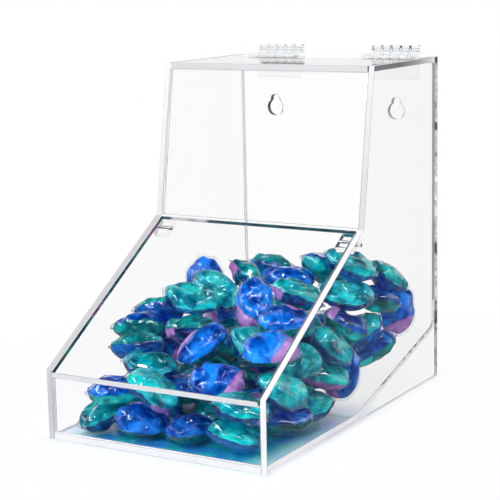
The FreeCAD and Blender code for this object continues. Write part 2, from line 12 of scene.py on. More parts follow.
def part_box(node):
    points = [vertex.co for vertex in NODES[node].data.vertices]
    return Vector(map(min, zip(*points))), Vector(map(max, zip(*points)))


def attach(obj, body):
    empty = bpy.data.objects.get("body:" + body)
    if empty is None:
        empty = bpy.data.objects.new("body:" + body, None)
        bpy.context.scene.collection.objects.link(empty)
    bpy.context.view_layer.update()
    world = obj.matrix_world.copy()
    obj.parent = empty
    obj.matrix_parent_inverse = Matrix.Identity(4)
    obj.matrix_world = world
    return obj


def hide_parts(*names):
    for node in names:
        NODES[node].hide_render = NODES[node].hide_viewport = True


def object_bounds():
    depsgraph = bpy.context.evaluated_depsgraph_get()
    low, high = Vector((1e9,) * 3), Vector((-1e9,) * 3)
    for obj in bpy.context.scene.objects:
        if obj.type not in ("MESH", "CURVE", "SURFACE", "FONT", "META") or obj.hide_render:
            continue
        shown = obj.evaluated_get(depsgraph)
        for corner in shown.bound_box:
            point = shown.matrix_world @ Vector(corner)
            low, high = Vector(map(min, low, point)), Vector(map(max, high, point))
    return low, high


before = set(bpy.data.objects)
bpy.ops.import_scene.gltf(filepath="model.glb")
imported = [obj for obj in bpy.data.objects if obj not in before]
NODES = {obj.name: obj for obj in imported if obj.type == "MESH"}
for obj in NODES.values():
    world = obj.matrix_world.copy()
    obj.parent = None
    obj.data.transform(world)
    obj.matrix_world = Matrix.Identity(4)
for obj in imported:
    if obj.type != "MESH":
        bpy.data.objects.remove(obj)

bl_info = {
    "name": "Laundry pouch bin",
    "version": (1, 0, 0),
    "blender": (4, 5, 0),
    "location": "3D View > Sidebar > Pouch Bin",
    "description": "Finishes a clear acrylic countertop bin and the laundry pouches that it holds",
    "category": "Object",
}

CAD_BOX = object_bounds()
MM = 0.001
RIGHT, BACK, UP = Vector((1, 0, 0)), Vector((0, 1, 0)), Vector((0, 0, 1))
WHITE = (1, 1, 1, 1)
# How far each keyhole's axis lies from the middle of the back.
KEYHOLE_X = 60 * MM
# How far a normal reaches across a sheet: under SAWN on a cut edge, over POLISHED on a face, and between
# the two on a broken edge.
SAWN, POLISHED = 0.2, 0.97
# Points this near each other are the same point, in metres and on a pouch that is still of unit size.
SAME_POINT, SAME_UNIT_POINT = 0.001 * MM, 1e-5
# Faces that turn by less than FLAT are one face, and an edge that turns by more than SHARP is broken.
FLAT, SHARP = math.radians(1), math.radians(35)
# The pouches' materials, as their faces number them.
BLUE, TEAL, FILM, PINK, INNER_FILM = range(5)
CAMERA_PLACE = Vector((0.6369, -0.9976, 0.3666))

# The pouches that show, in the order of their nodes: which dome faces the front right, B for the blue one
# and T for the teal one, and where its pink part then lies, as on a clock, or 0 where it is turned away.
SHOWN_POUCHES = (
    "B0 B0 T0 T0 B0 T0 B0 T2 B8 B0 T0 B0 T0 T0 T5 T0 B4 T0 B0 T0 "
    "T0 B4 T0 B0 T0 B7 B9 B0 B0 T0 B7 T9 T2 T0 B0 T1 B0 T0 B0 T0"
).split()


def linear(colour):
    """A colour written as an sRGB hex string, as linear red, green, blue and alpha."""
    channels = [int(colour[place:place + 2], 16) / 255 for place in (1, 3, 5)]
    return [c / 12.92 if c <= 0.04045 else ((c + 0.055) / 1.055) ** 2.4 for c in channels] + [1.0]


def colour_property(name, description, default):
    """A text property that holds an sRGB hex colour."""
    return StringProperty(name=name, description=description, default=default)


def number_property(name, description, default, **kind):
    """A property that holds a number."""
    return FloatProperty(name=name, description=description, default=default, **kind)


# ---------------------------------------------------------------- settings

class StageSettings(bpy.types.PropertyGroup):
    """Floor, lamps and camera."""
    floor_size: number_property("Floor size", "Side of the square floor", 12, unit="LENGTH")
    # The paper's faint aqua is partly painted light: it tints the shadow under the bin as the gel's light
    # would.
    floor_colour: colour_property("Floor", "Colour of the floor", "#eaf3f5")
    # The pool is painted light: colour on the floor for the light that the gel throws, which isn't traced.
    painted_pool_blue: colour_property("Blue pool", "Light that blue gel throws on the floor", "#1f6cb4")
    painted_pool_teal: colour_property("Teal pool", "Light that teal gel throws on the floor", "#10949c")
    pool_fade: number_property(
        "Pool fade", "How far the thrown light takes to fade, each side of its edge", 28 * MM, unit="LENGTH")
    pool_spread: number_property(
        "Pool spread", "How far it reaches before and behind the lowest pouches", 15 * MM, unit="LENGTH")
    world_light: number_property("World light", "Strength of the light from all round", 0.7)
    ceiling: number_property(
        "Ceiling", "Brightness of the studio's ceiling, as gloss and glass show it", 0.03)
    mirrored: number_property("Mirrored", "Brightness of the floor, as gloss mirrors it", 0.1)
    mirrored_front: number_property("Mirrored front", "The same for what lies in front of the bin", 0.015)
    soft_power: number_property("Soft lamp", "Power of the wide lamp overhead", 9.5, unit="POWER")
    strip_glow: number_property("Strip glow", "Power of a long thin lamp, per square metre of it", 100)
    spark_glow: number_property("Spark glow", "Power of a small lamp, per square metre of it", 120)
    lens: number_property("Lens", "Focal length on a 36 mm sensor, in millimetres", 109.9)
    heading: number_property(
        "Heading", "How far right of the front the camera stands", math.radians(30.69), subtype="ANGLE")
    fall: number_property("Fall", "How far down the camera looks", math.radians(10.54), subtype="ANGLE")
    roll: number_property(
        "Roll", "How far the camera is turned about its own axis", math.radians(-1.2), subtype="ANGLE")


class AcrylicSettings(bpy.types.PropertyGroup):
    """Clear sheet, its cut and broken edges, and its glue."""
    cut_colour: colour_property("Cut edge", "Colour of a sawn and flamed edge", "#fdfafd")
    # Painted shade: the far panel's edges are the same sawn acrylic, painted darker for the shade they show.
    far_shaded_cut_colour: colour_property("Far cut edge", "Colour of the edges on the far side", "#d6d2d6")
    # Painted shade: the lid's edges are painted greyer than the other cut edges, for the shade they show.
    lid_shaded_cut_colour: colour_property("Lid's cut edge", "Colour of the lid's edges", "#dedcde")
    # Painted reflection: the grey of the room that some polished edges show.
    room_reflection_colour: colour_property("Grey cut edge", "Colour of the edges that mirror the room", "#9a989c")
    bubble_colour: colour_property("Bubbles", "Colour of the bubbles in a glue line", "#3a3a3c")
    tint: colour_property("Tint", "Colour of light that has crossed a panel", "#ffffff")
    # Painted shade: the grey line stands for the dark that refraction shows along a broken edge.
    edge_shade_colour: colour_property("Broken edges", "Colour of the thin line along a broken edge", "#9a989e")
    streak_colour: colour_property("Streaks", "Colour of the saw's faint streaks", "#8c8a90")
    # Painted light and shade: the side panels' edges over the door, the near one darker and the far one
    # lighter.
    near_upright_shade: colour_property(
        "Near upright", "Colour of the near side panel's edge over the door", "#dcdadd")
    far_upright_light: colour_property(
        "Far upright", "Colour of the far side panel's edge over the door", "#f0eef0")
    # Painted shade: the keyholes' left walls are painted dark for the shade they show.
    hole_shade_colour: colour_property("Keyhole", "Colour of the keyholes' left walls", "#4a4a4e")
    edge_break: number_property("Broken edge", "Width of the broken edges", 0.25 * MM, unit="LENGTH")
    glue: number_property(
        "Glue", "How far a glued piece reaches into the glue on its neighbour", 0.02 * MM, unit="LENGTH")


class PouchSettings(bpy.types.PropertyGroup):
    """The film pouches and the gel in them."""
    gel_share: number_property("Gel share", "Radius of the gel as a share of the pouch's", 0.9)
    film: number_property("Seam", "Thickness of the sealed rim", 0.6 * MM, unit="LENGTH")
    steps: IntProperty(name="Steps", description="Steps round a pouch that shows", default=72)
    rings: IntProperty(name="Rings", description="Rings from a dome's crown to its rim", default=13)
    buried_steps: IntProperty(name="Buried steps", description="Steps round a buried pouch", default=32)
    buried_rings: IntProperty(name="Buried rings", description="Rings on a buried pouch's dome", default=7)
    chord: number_property("Chord", "Where the straight side of the pink part lies, from centre to rim", 0.42)
    seed: IntProperty(name="Seed", description="Seed of the pouches' own lumps", default=7)
    overlap: number_property(
        "Overlap", "How far two gels reach into the film between them", 0.05 * MM, unit="LENGTH")
    # Each gel's deep and bright colours are mixed in swirls: partly random tone, partly painted light.
    deep_blue: colour_property("Deep blue", "Blue gel where it is cloudy", "#003490")
    bright_blue: colour_property("Bright blue", "Blue gel where it is clear", "#1098f2")
    deep_teal: colour_property("Deep teal", "Teal gel where it is cloudy", "#007a84")
    bright_teal: colour_property("Bright teal", "Teal gel where it is clear", "#14eee6")
    pink: colour_property("Pink", "Pink gel where it is cloudy", "#9762ac")
    bright_pink: colour_property("Bright pink", "Pink gel where it is clear", "#b286cc")
    blue_taken: FloatVectorProperty(
        name="Blue absorption", description="Red, green and blue that a metre of blue gel takes",
        default=(400, 18, 8))
    teal_taken: FloatVectorProperty(
        name="Teal absorption", description="Red, green and blue that a metre of teal gel takes",
        default=(420, 20, 16))
    pink_taken: FloatVectorProperty(
        name="Pink absorption", description="Red, green and blue that a metre of pink gel takes",
        default=(20, 110, 35))


# ---------------------------------------------------------------- materials

def add_node(tree, kind, inputs=(), links=(), stops=(), **settings):
    """A node with its settings, its inputs' plain values, what feeds its other inputs, and a ramp's stops."""
    node = tree.nodes.new(kind)
    for name, value in settings.items():
        setattr(node, name, value)
    for key, value in dict(inputs).items():
        node.inputs[key].default_value = value
    for key, source in dict(links).items():
        tree.links.new(source, node.inputs[key])
    if stops:
        elements = node.color_ramp.elements
        while len(elements) < len(stops):
            elements.new(0.5)
        for element, (position, colour) in zip(elements, stops):
            element.position = position
            element.color = linear(colour)
    return node


def new_material(name):
    """An empty node material and its tree."""
    made = bpy.data.materials.new(name)
    made.use_nodes = True
    made.node_tree.nodes.clear()
    return made, made.node_tree


def let_lamps_through(tree, shader, colour, volume=None):
    """Ends a clear material: a ray towards a lamp passes straight through it, with this tint."""
    path = add_node(tree, "ShaderNodeLightPath")
    clear = add_node(tree, "ShaderNodeBsdfTransparent", {"Color": linear(colour)})
    mix = add_node(tree, "ShaderNodeMixShader", links={
        0: path.outputs["Is Shadow Ray"], 1: shader.outputs[0], 2: clear.outputs[0]})
    ends = {"Surface": mix.outputs[0]}
    if volume:
        ends["Volume"] = volume.outputs[0]
    add_node(tree, "ShaderNodeOutputMaterial", links=ends)


def either(tree, *values):
    """The greatest of some values, which is 1 where any of them is 1."""
    return functools.reduce(lambda one, other: add_node(
        tree, "ShaderNodeMath", links={0: one, 1: other}, operation="MAXIMUM").outputs[0], values)


def both_of(tree, *values):
    """The product of some values, which is 1 only where all of them are 1."""
    return functools.reduce(lambda one, other: add_node(
        tree, "ShaderNodeMath", links={0: one, 1: other}, operation="MULTIPLY").outputs[0], values)


def past(tree, vector, direction, limit, both_ways=False):
    """1 where a vector reaches past the limit along the direction, or with both_ways against it too."""
    reach = add_node(tree, "ShaderNodeVectorMath", {1: direction}, {0: vector},
                     operation="DOT_PRODUCT").outputs["Value"]
    if both_ways:
        reach = add_node(tree, "ShaderNodeMath", links={0: reach}, operation="ABSOLUTE").outputs[0]
    return add_node(tree, "ShaderNodeMath", {1: limit}, {0: reach}, operation="GREATER_THAN").outputs[0]


def within(tree, vector, direction, limit, middle=0):
    """1 where a vector's reach along the direction differs from the middle by no more than the limit."""
    reach = add_node(tree, "ShaderNodeVectorMath", {1: direction}, {0: vector}, operation="DOT_PRODUCT")
    return add_node(tree, "ShaderNodeMath", {1: middle, 2: limit}, {0: reach.outputs["Value"]},
                    operation="COMPARE").outputs[0]


def beyond(tree, value, low, high):
    """How far a value lies beyond the range from low to high, which is less than 0 inside it."""
    off = add_node(tree, "ShaderNodeMath", {1: (low + high) / 2}, {0: value}, operation="SUBTRACT")
    size = add_node(tree, "ShaderNodeMath", links={0: off.outputs[0]}, operation="ABSOLUTE")
    return add_node(tree, "ShaderNodeMath", {1: (high - low) / 2}, {0: size.outputs[0]},
                    operation="SUBTRACT").outputs[0]


def painted(tree, ground, *layers):
    """The ground colour with others laid over it in turn, each a mask and the colour where it is 1."""
    for where, colour in layers:
        ground = add_node(tree, "ShaderNodeMix", {7: linear(colour)}, {0: where, 6: ground},
                          data_type="RGBA").outputs[2]
    return ground


def edge_shade_line(tree, normal, through, ground):
    """The colour with a thin grey line of painted shade along the broken edges, where the face and the cut
    meet.
    """
    settings = bpy.context.scene.acrylic_settings
    leaning = both_of(tree, past(tree, normal, through, SAWN, both_ways=True),
                      within(tree, normal, through, POLISHED))
    return painted(tree, ground, (leaning, settings.edge_shade_colour))


def saw_grain(tree, place, colour):
    """A cut edge's colour, with the faint streaks that a saw and a flame leave."""
    settings = bpy.context.scene.acrylic_settings
    grain = add_node(tree, "ShaderNodeTexNoise", {"Scale": 1 / (6 * MM), "Detail": 3}, {"Vector": place})
    faint = add_node(tree, "ShaderNodeMapRange", {"To Max": 0.12}, {"Value": grain.outputs["Fac"]})
    return add_node(tree, "ShaderNodeMix", {6: linear(colour), 7: linear(settings.streak_colour)},
                    {0: faint.outputs[0]}, data_type="RGBA").outputs[2]


def acrylic_body(tree, is_cut, cut_colour):
    """Cast acrylic: sharp and clear on its polished faces, and pale and scattering on its cut edges."""
    settings = bpy.context.scene.acrylic_settings
    face = add_node(tree, "ShaderNodeBsdfPrincipled", {
        "Base Color": linear(settings.tint), "Roughness": 0, "IOR": 1.15, "Transmission Weight": 1})
    cut = add_node(tree, "ShaderNodeBsdfPrincipled", {
        "Roughness": 0.35, "IOR": 1.49, "Transmission Weight": 0.05}, {"Base Color": cut_colour})
    mix = add_node(tree, "ShaderNodeMixShader", links={0: is_cut, 1: face.outputs[0], 2: cut.outputs[0]})
    let_lamps_through(tree, mix, "#f4f6f7")


def flat_acrylic(name, through, colour, ends):
    """Flat cast acrylic sheet, polished on its faces and sawn on its edges.

    through is the direction across the sheet. ends are (direction, reach, shade) for the edges that look
    otherwise than the rest: they lie as far along the direction as that, and shade paints their colour
    with the light, shade and reflections that they show.
    """
    made, tree = new_material(name)
    coordinates = add_node(tree, "ShaderNodeTexCoord")
    place, normal = coordinates.outputs["Object"], coordinates.outputs["Normal"]
    slack = 0.4 * MM
    colours = saw_grain(tree, place, colour)
    for direction, reach, shade in ends:
        at_end = past(tree, place, direction, reach - slack)
        colours = add_node(tree, "ShaderNodeMix", links={0: at_end, 6: colours, 7: shade(tree, place)},
                           data_type="RGBA").outputs[2]
    is_cut = within(tree, normal, through, POLISHED)
    acrylic_body(tree, is_cut, edge_shade_line(tree, normal, through, colours))
    return made


def room_glints(tree, place):
    """Painted reflection: the black, grey and pale patches of the room that a polished upright edge shows."""
    patches = add_node(tree, "ShaderNodeTexNoise", {"Scale": 1 / (13 * MM), "Detail": 3}, {"Vector": place})
    return add_node(tree, "ShaderNodeValToRGB", links={0: patches.outputs["Fac"]}, stops=(
        (0.36, "#2c2c30"), (0.43, "#8c8a8e"), (0.5, "#d6d4d8"), (0.56, "#aaa8ac"),
        (0.62, "#f0eef2"))).outputs["Color"]


def fading_dark(tree, place):
    """Painted reflection: the dark that the lid's right edge mirrors, which fades to pale towards the hinges.
    """
    low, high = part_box("lid_panel")
    axes = add_node(tree, "ShaderNodeSeparateXYZ", links={0: place})
    depth = add_node(tree, "ShaderNodeMapRange", {"From Min": low.y, "From Max": high.y}, {
        "Value": axes.outputs["Y"]})
    return add_node(tree, "ShaderNodeValToRGB", links={0: depth.outputs[0]}, stops=(
        (0.0, "#59575b"), (0.2, "#7b797d"), (0.45, "#6a686c"), (0.75, "#a5a2a7"),
        (1.0, "#eeeaee"))).outputs["Color"]


def piped_light(tree, place):
    """Painted light that a polished edge pipes up from the gel under it, in stretches of a few centimetres.
    """
    drift = add_node(tree, "ShaderNodeTexNoise", {"Scale": 1 / (45 * MM), "Detail": 2}, {"Vector": place})
    return add_node(tree, "ShaderNodeValToRGB", links={0: drift.outputs["Fac"]}, stops=(
        (0.34, "#e3dfe3"), (0.4, "#0c1e3c"), (0.45, "#06484e"), (0.5, "#101418"), (0.56, "#137c74"),
        (0.62, "#8c4a86"), (0.68, "#1c2a6a"))).outputs["Color"]


def reaches(node, *directions):
    """Each direction, with how far the node's mesh reaches along it."""
    points = corners(NODES[node].data)
    return [(direction, float((points @ np.array(direction)).max())) for direction in directions]


def bent_acrylic(ramp_normal, ramp_place, bubble_foot, front, back_foot, hole_reach):
    """The sheet that is floor, ramp and back in one, bent over a hot wire.

    Its side edges are glued to the side panels. The glue is clear along the ramp, apart from a row of
    bubbles at its upper face, over bubble_foot, and it shows as a band elsewhere.
    """
    settings = bpy.context.scene.acrylic_settings
    made, tree = new_material("cast_acrylic_bent_sheet")
    coordinates = add_node(tree, "ShaderNodeTexCoord")
    place, normal = coordinates.outputs["Object"], coordinates.outputs["Normal"]
    is_side = past(tree, normal, RIGHT, SAWN, both_ways=True)
    is_front_end = past(tree, place, -BACK, -front)
    is_back = past(tree, place, UP, back_foot)
    is_hole = both_of(tree, is_back, within(tree, normal, BACK, 0.5))
    is_cut = either(tree, is_side, is_front_end, is_hole)

    on_right = past(tree, place, RIGHT, 0)
    at_right = past(tree, place, RIGHT, hole_reach)
    in_hole = both_of(tree, is_back, within(tree, place, RIGHT, hole_reach))
    left_wall = either(tree, past(tree, place, -RIGHT, KEYHOLE_X),
                       both_of(tree, on_right, past(tree, place, -RIGHT, -KEYHOLE_X)))
    on_ramp = within(tree, place, ramp_normal, 2 * MM, ramp_normal.dot(ramp_place))
    row = add_node(tree, "ShaderNodeTexNoise", {"Scale": 1 / (3.5 * MM), "Detail": 1}, {"Vector": place})
    is_bubble = add_node(tree, "ShaderNodeMath", {1: 0.54}, {0: row.outputs["Fac"]},
                         operation="GREATER_THAN").outputs[0]
    bubbles = both_of(tree, at_right, on_ramp, is_bubble, past(tree, place, UP, bubble_foot))

    # Painted reflection: the room's grey on the right edge of the back, over the cut's grain.
    shade = painted(tree, saw_grain(tree, place, settings.cut_colour),
                    (both_of(tree, at_right, is_back), settings.room_reflection_colour),
                    (bubbles, settings.bubble_colour))
    shade = painted(tree, edge_shade_line(tree, normal, RIGHT, shade),
                    (in_hole, settings.cut_colour),
                    # Painted shade on the keyholes' left walls, and the room's painted reflection on the
                    # right keyhole's.
                    (both_of(tree, in_hole, left_wall), settings.hole_shade_colour),
                    (both_of(tree, in_hole, left_wall, on_right), settings.room_reflection_colour))
    acrylic_body(tree, is_cut, shade)
    return made


def waved_acrylic(name, tint, gloss, wave, strength):
    """Clear acrylic that isn't sheet, with faint waves of this length in its surface.

    gloss gives its roughness and its IOR.
    """
    made, tree = new_material(name)
    place = add_node(tree, "ShaderNodeTexCoord").outputs["Object"]
    waves = add_node(tree, "ShaderNodeTexNoise", {"Scale": 1 / wave, "Detail": 2}, {"Vector": place})
    dents = add_node(tree, "ShaderNodeBump", {"Strength": strength, "Distance": 0.2 * MM}, {
        "Height": waves.outputs["Fac"]})
    roughness, ior = gloss
    body = add_node(tree, "ShaderNodeBsdfPrincipled", {
        "Base Color": linear(tint), "Roughness": roughness, "IOR": ior, "Transmission Weight": 1},
        {"Normal": dents.outputs[0]})
    let_lamps_through(tree, body, "#e6e9eb")
    return made


def machined_acrylic():
    """A block sawn from cast acrylic and flame-polished all over: clear, with faint tool waves."""
    return waved_acrylic("machined_clear_acrylic", "#fcfcfd", (0, 1.12), 9 * MM, 0.15)


def moulded_acrylic():
    """Injection-moulded clear hinge: see-through with a faint grey tint, and with faint flow waves."""
    return waved_acrylic("moulded_clear_acrylic", "#f8f9fa", (0.02, 1.08), 4 * MM, 0.2)


def ground_steel():
    """Ground stainless steel pin: a grey metal with a fine turned grain."""
    made, tree = new_material("ground_stainless_steel")
    place = add_node(tree, "ShaderNodeTexCoord").outputs["Object"]
    lie = add_node(tree, "ShaderNodeMapping", {"Scale": (1 / (0.2 * MM), 40, 40)}, {"Vector": place})
    grain = add_node(tree, "ShaderNodeTexNoise", {"Scale": 1}, {"Vector": lie.outputs[0]})
    rough = add_node(tree, "ShaderNodeMapRange", {"To Min": 0.2, "To Max": 0.4}, {
        "Value": grain.outputs["Fac"]})
    body = add_node(tree, "ShaderNodeBsdfPrincipled", {
        "Base Color": linear("#b9b9bd"), "Metallic": 1}, {"Roughness": rough.outputs[0]})
    add_node(tree, "ShaderNodeOutputMaterial", links={"Surface": body.outputs[0]})
    return made


def gel(name, deep, bright, taken, clear, shadow):
    """Detergent gel behind tight film: a cloudy jelly with a wet gloss, which darkens with its depth.

    taken is the red, green and blue that a metre of it absorbs, clear is its share that isn't cloudy, and
    shadow the colour of the light that crosses its surface towards something else.
    """
    made, tree = new_material(name)
    place = add_node(tree, "ShaderNodeTexCoord").outputs["Object"]
    # Swirls of deep and bright: partly random tone, partly painted light for the bright patches inside the
    # gel.
    swirl = add_node(tree, "ShaderNodeTexNoise", {
        "Scale": 1 / (14 * MM), "Detail": 2, "Distortion": 0.8}, {"Vector": place})
    tone_and_glow = add_node(tree, "ShaderNodeMapRange", {"From Min": 0.35, "From Max": 0.65}, {
        "Value": swirl.outputs["Fac"]}, interpolation_type="SMOOTHSTEP")
    colour = add_node(tree, "ShaderNodeMix", {6: linear(deep), 7: linear(bright)}, {
        0: tone_and_glow.outputs[0]}, data_type="RGBA")
    creases = add_node(tree, "ShaderNodeTexNoise", {"Scale": 1 / (6 * MM), "Detail": 1}, {"Vector": place})
    film = add_node(tree, "ShaderNodeBump", {"Strength": 0.4, "Distance": 1.0 * MM}, {
        "Height": creases.outputs["Fac"]})
    body = add_node(tree, "ShaderNodeBsdfPrincipled", {
        "Roughness": 0.03, "IOR": 1.36, "Transmission Weight": clear, "Coat Weight": 1, "Coat IOR": 1.85,
        "Coat Roughness": 0.04}, {
        "Base Color": colour.outputs[2], "Normal": film.outputs[0]})
    strongest = max(taken)
    depth = add_node(tree, "ShaderNodeVolumeAbsorption", {
        "Color": [1 - each / strongest for each in taken] + [1], "Density": strongest})
    let_lamps_through(tree, body, shadow, depth)
    return made


def soluble_film():
    """Water-soluble film, sealed in a rim: clear and thin, with soft wrinkles that catch the light."""
    made, tree = new_material("water_soluble_film")
    place = add_node(tree, "ShaderNodeTexCoord").outputs["Object"]
    wrinkles = add_node(tree, "ShaderNodeTexNoise", {"Scale": 1 / (3 * MM), "Detail": 3}, {"Vector": place})
    folds = add_node(tree, "ShaderNodeBump", {"Strength": 0.7, "Distance": 1.0 * MM}, {
        "Height": wrinkles.outputs["Fac"]})
    body = add_node(tree, "ShaderNodeBsdfPrincipled", {
        "Base Color": linear("#f2f9ff"), "Roughness": 0.02, "IOR": 1.06, "Transmission Weight": 1,
        "Coat Weight": 1, "Coat IOR": 1.7, "Coat Roughness": 0.04}, {"Normal": folds.outputs[0]})
    let_lamps_through(tree, body, "#fafcfe")
    return made


def inner_film():
    """The film between a pouch's chambers: cloudy and pale, so it throws light back up through the gel."""
    made, tree = new_material("cloudy_inner_film")
    place = add_node(tree, "ShaderNodeTexCoord").outputs["Object"]
    shade_patches = add_node(tree, "ShaderNodeTexNoise", {"Scale": 1 / (12 * MM), "Detail": 2}, {"Vector": place})
    # Painted shade: dark blue patches among the pale, for deep shade and the other chamber's gel seen
    # through.
    tone = add_node(tree, "ShaderNodeValToRGB", links={0: shade_patches.outputs["Fac"]}, stops=(
        (0.34, "#1c5494"), (0.46, "#7cc4ec"), (0.58, "#f4fcff")))
    body = add_node(tree, "ShaderNodeBsdfPrincipled", {"Roughness": 0.5}, {
        "Base Color": tone.outputs["Color"]})
    let_lamps_through(tree, body, "#98dcf0")
    return made


# ---------------------------------------------------------------- shapes

def corners(shape):
    """An array of a mesh's points."""
    values = np.zeros(len(shape.vertices) * 3, np.float32)
    shape.vertices.foreach_get("co", values)
    return values.reshape(-1, 3).astype(float)


def principal_axes(points):
    """The centre of a body's points and its long, middle and thin directions."""
    low, high = points.min(0), points.max(0)
    centre = (low + high) / 2
    _, directions = np.linalg.eigh(np.cov((points - centre).T))
    thin, middle, long = (Vector(directions[:, place]) for place in range(3))
    return Vector(centre), long, middle, thin


def dome_profile(rings, gel_share, rim_height, base):
    """Half of a gel dome's section, from its crown round its rim to the middle of its flat base."""
    fullness = 2.8
    section = []
    for step in range(rings):
        share = math.sin(step / rings * math.pi / 2)
        section.append((gel_share * share, (1 - share ** fullness) ** 0.5))
    return section + [(gel_share, rim_height), (gel_share, base), (0, base)]


def rim_profile(gel_share, rim_height):
    """The section of the sealed rim, a flat ring of film that thins towards its edge."""
    inside, shoulder, thinned = gel_share - 0.02, 0.97, 0.9 * rim_height
    return [(inside, rim_height), (shoulder, thinned), (1, 0), (shoulder, -thinned), (inside, -rim_height),
            (inside, rim_height)]


def spun(section, steps, material):
    """A closed body with this section, spun about the upright axis."""
    body = bmesh.new()
    points = [body.verts.new((radius, 0, height)) for radius, height in section]
    for first, second in zip(points, points[1:]):
        body.edges.new((first, second))
    bmesh.ops.spin(body, geom=body.verts[:] + body.edges[:], cent=(0, 0, 0), axis=UP, angle=math.tau,
                   steps=steps, use_merge=True)
    bmesh.ops.remove_doubles(body, verts=body.verts, dist=SAME_UNIT_POINT)
    bmesh.ops.recalc_face_normals(body, faces=body.faces)
    flat_base = section[-1][1]
    for face in body.faces:
        face.smooth = True
        face.material_index = material
        heights = [corner.co.z for corner in face.verts]
        if material != FILM and all(abs(height - flat_base) < SAME_UNIT_POINT for height in heights):
            face.material_index = INNER_FILM
    return body


def keep_side(body, place, outward, material):
    """Cuts a body at a plane, drops what lies outward of it and closes the cut with this material."""
    cut = bmesh.ops.bisect_plane(body, geom=body.verts[:] + body.edges[:] + body.faces[:], plane_co=place,
                                 plane_no=outward, dist=SAME_UNIT_POINT, clear_outer=True)
    edges = [part for part in cut["geom_cut"] if isinstance(part, bmesh.types.BMEdge)]
    caps = bmesh.ops.edgeloop_fill(body, edges=edges, mat_nr=material)["faces"]
    bmesh.ops.triangulate(body, faces=caps)
    bmesh.ops.recalc_face_normals(body, faces=body.faces)


def pouch(bm, place, sizes, steps, rings, pink_turn, rng):
    """Adds one pouch to a bmesh: a blue and a pink gel body over a teal one, sealed in a film rim.

    place is the matrix that sets it down, and sizes its half length, half width and half thickness.
    """
    settings = bpy.context.scene.pouch_settings
    share = settings.gel_share
    rim_height = settings.film / 2 / sizes.z
    overlap = settings.overlap / sizes.z
    outward = Vector((math.cos(pink_turn), math.sin(pink_turn), 0))
    section = dome_profile(rings, share, rim_height, -overlap)
    blue = spun(section, steps, BLUE)
    keep_side(blue, outward * (settings.chord + overlap / 2), outward, BLUE)
    pink = spun(section, steps, PINK)
    keep_side(pink, outward * (settings.chord - overlap / 2), -outward, PINK)
    teal = spun([(radius, -height) for radius, height in section], steps, TEAL)
    rim = spun(rim_profile(share, rim_height), steps, FILM)

    form = Lumps(rng, outward, settings)
    for body in (blue, pink, teal, rim):
        for point in body.verts:
            form.shape(point)
        bmesh.ops.scale(body, vec=sizes, verts=body.verts)
        bmesh.ops.transform(body, matrix=place, verts=body.verts)
        made = bpy.data.meshes.new("chamber")
        body.to_mesh(made)
        body.free()
        bm.from_mesh(made)
        bpy.data.meshes.remove(made)


class Lumps:
    """The uneven form of one pouch, as it is pressed by its neighbours and drawn in at its seal.

    Lengths are shares of the pouch's half sizes. A scale is how many lumps lie along a half size.
    """
    SWELL_SCALE, SWELL = 1.7, 0.4
    DENT_SCALE, DENT = 3.4, 0.13
    CREASE_SCALE, CREASE_WIDTH, CREASE = 1.5, 0.09, 0.13
    SEAM_WIDTH, SEAM = 0.07, 0.12
    RIPPLE_SCALE, RIPPLE = 2.2, 0.12
    PUCKER, RIM_PUCKER = 0.1, 0.4
    DRAWN_IN, DRAWN_FROM = 0.12, 0.6
    RIM_POWER = 8

    def __init__(self, rng, outward, settings):
        self.shift = Vector([rng.uniform(-50, 50) for _ in range(3)])
        self.creases = rng.choice((9, 11, 13))
        self.phase = rng.uniform(0, math.tau)
        self.bow = rng.uniform(-0.16, 0.16)
        self.taper = rng.uniform(-0.1, 0.1)
        self.squareness = rng.uniform(1.9, 2.6)
        self.outward = outward
        self.share = settings.gel_share
        self.chord = settings.chord

    def shape(self, point):
        """Moves one point from the plain form to the uneven one."""
        place = point.co
        radius = place.xy.length
        turn = math.atan2(place.y, place.x)
        round_rim = Vector((math.cos(turn), math.sin(turn), 0))
        swell = noise.noise(place * self.SWELL_SCALE + self.shift)
        dent = noise.noise(place * self.DENT_SCALE - self.shift)
        ripple = noise.noise(round_rim * self.RIPPLE_SCALE + self.shift)
        pucker = math.sin(self.creases * turn + self.phase + 3 * ripple)
        inner = min(1, radius / self.share)
        near_rim = inner ** self.RIM_POWER
        fold = noise.noise(place * self.CREASE_SCALE + self.shift.yzx)
        crease = max(0, 1 - abs(fold) / self.CREASE_WIDTH) ** 2
        groove = abs(place.dot(self.outward) - self.chord)
        seam = max(0, 1 - groove / self.SEAM_WIDTH) if place.z > 0 else 0
        place.z *= (1 + self.SWELL * swell + self.DENT * dent + self.PUCKER * near_rim * pucker
                    - self.SEAM * seam - self.CREASE * crease)
        place.z += (self.RIPPLE * near_rim * (ripple + self.RIM_PUCKER * pucker)
                    + self.bow * (place.x ** 2 - place.y ** 2))
        power = self.squareness
        squarer = (abs(round_rim.x) ** power + abs(round_rim.y) ** power) ** (-1 / power)
        widen = squarer * (1 - self.DRAWN_IN * (self.DRAWN_FROM - ripple) * inner)
        place.x *= widen
        place.y *= widen * (1 + self.taper * place.x)


def set_down(points, facing, side):
    """The matrix that sets a pouch down in its node's place, and its half sizes.

    facing is the direction its chosen dome turns to, and side 1 if that is the blue dome, which is up.
    """
    centre, long, middle, thin = principal_axes(points)
    if thin.dot(facing) * side < 0:
        thin.negate()
    middle = thin.cross(long)
    turn = Matrix((long, middle, thin)).transposed()
    local = (points - np.array(centre)) @ np.array(turn)
    sizes = Vector(np.abs(local).max(0))
    return Matrix.Translation(centre) @ turn.to_4x4(), sizes


